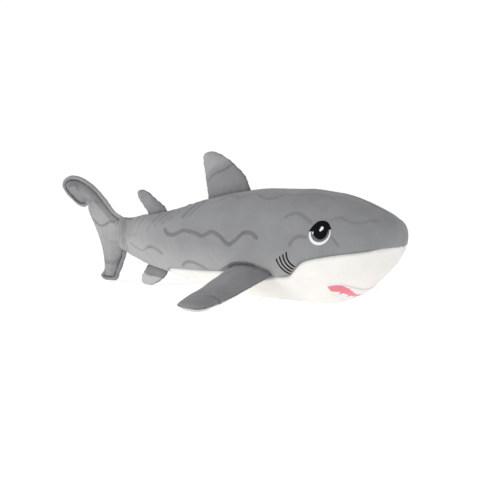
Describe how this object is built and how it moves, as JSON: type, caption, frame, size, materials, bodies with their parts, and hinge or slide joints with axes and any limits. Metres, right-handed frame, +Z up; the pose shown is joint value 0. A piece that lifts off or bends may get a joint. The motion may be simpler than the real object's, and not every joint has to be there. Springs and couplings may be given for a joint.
{
  "type": "plush shark",
  "caption": "Soft stuffed shark toy with grey back, white belly, embroidered eyes, gills and toothy smile, and floppy stuffed fins and tail.",
  "frame": {"origin": "centre of the toy's bounding box in plan, on the surface that it rests on", "axes": "+X from the tail towards the nose, +Y towards the shark's left side, +Z up"},
  "size_m": [0.453, 0.274, 0.1521],
  "materials": {
    "grey_plush": "short pile",
    "white_plush": "short pile",
    "polyester_fill": "loose fibre",
    "dark_grey_thread": "stitched thread",
    "black_thread": "satin stitch",
    "white_thread": "satin stitch",
    "iris_thread": "satin stitch",
    "pink_thread": "satin stitch",
    "lip_thread": "satin stitch"
  },
  "bodies": {
    "body": {"body_stuffing": "polyester_fill", "belly_panel": "white_plush", "back_panel_right": "grey_plush", "back_panel_left": "grey_plush", "eye_white_right": "white_thread", "eye_iris_right": "iris_thread", "eye_pupil_right": "black_thread", "eye_glint_large_right": "white_thread", "eye_glint_small_right": "white_thread", "gill_stitch_right_1": "black_thread", "gill_stitch_right_2": "black_thread", "gill_stitch_right_3": "black_thread", "gill_stitch_right_4": "black_thread", "eye_white_left": "white_thread", "eye_iris_left": "iris_thread", "eye_pupil_left": "black_thread", "eye_glint_large_left": "white_thread", "eye_glint_small_left": "white_thread", "gill_stitch_left_1": "black_thread", "gill_stitch_left_2": "black_thread", "gill_stitch_left_3": "black_thread", "gill_stitch_left_4": "black_thread", "mouth_outline": "lip_thread", "mouth_lining": "pink_thread", "mouth_teeth_upper": "white_thread", "mouth_teeth_lower": "white_thread"},
    "tail": {"tail_panel_right": "grey_plush", "tail_topstitch_upper_right": "dark_grey_thread", "tail_topstitch_lower_right": "dark_grey_thread", "tail_panel_left": "grey_plush", "tail_topstitch_upper_left": "dark_grey_thread", "tail_topstitch_lower_left": "dark_grey_thread", "tail_stuffing": "polyester_fill"},
    "dorsal_fin": {"dorsal_fin_panel_right": "grey_plush", "dorsal_fin_panel_left": "grey_plush", "dorsal_fin_stuffing": "polyester_fill"},
    "rear_dorsal_fin": {"rear_dorsal_fin_panel_right": "grey_plush", "rear_dorsal_fin_panel_left": "grey_plush", "rear_dorsal_fin_stuffing": "polyester_fill"},
    "anal_fin": {"anal_fin_panel_right": "grey_plush", "anal_fin_panel_left": "grey_plush", "anal_fin_stuffing": "polyester_fill"},
    "pectoral_fin_right": {"pectoral_fin_right_panel_top": "grey_plush", "pectoral_fin_right_panel_bottom": "white_plush", "pectoral_fin_right_stuffing": "polyester_fill"},
    "pectoral_fin_left": {"pectoral_fin_left_panel_top": "grey_plush", "pectoral_fin_left_panel_bottom": "white_plush", "pectoral_fin_left_stuffing": "polyester_fill"}
  },
  "joints": [
    {"name": "tail_swing", "type": "hinge", "parent": "body", "child": "tail", "pos_m": [-0.13, 0, 0.057], "axis": [0, 0, 1], "range_deg": [-25, 25], "stiffness_Nm_per_rad": 0.08},
    {"name": "dorsal_fin_flop", "type": "hinge", "parent": "body", "child": "dorsal_fin", "pos_m": [0.021, 0, 0.1065], "axis": [0.9803, 0, 0.1977], "range_deg": [-25, 25], "stiffness_Nm_per_rad": 0.04},
    {"name": "rear_dorsal_fin_flop", "type": "hinge", "parent": "body", "child": "rear_dorsal_fin", "pos_m": [-0.079, 0, 0.084], "axis": [0.9681, 0, 0.2504], "range_deg": [-25, 25], "stiffness_Nm_per_rad": 0.02},
    {"name": "anal_fin_flop", "type": "hinge", "parent": "body", "child": "anal_fin", "pos_m": [-0.078, 0, 0.0213], "axis": [0.9877, 0, -0.1564], "range_deg": [-25, 25], "stiffness_Nm_per_rad": 0.02},
    {"name": "pectoral_fin_right_lift", "type": "hinge", "parent": "body", "child": "pectoral_fin_right", "pos_m": [0.0835, -0.049, 0.0308], "axis": [-0.9998, 0.0175, 0], "range_deg": [-15, 40], "stiffness_Nm_per_rad": 0.05},
    {"name": "pectoral_fin_left_lift", "type": "hinge", "parent": "body", "child": "pectoral_fin_left", "pos_m": [0.0835, 0.049, 0.0308], "axis": [0.9998, 0.0175, 0], "range_deg": [-15, 40], "stiffness_Nm_per_rad": 0.05}
  ]
}
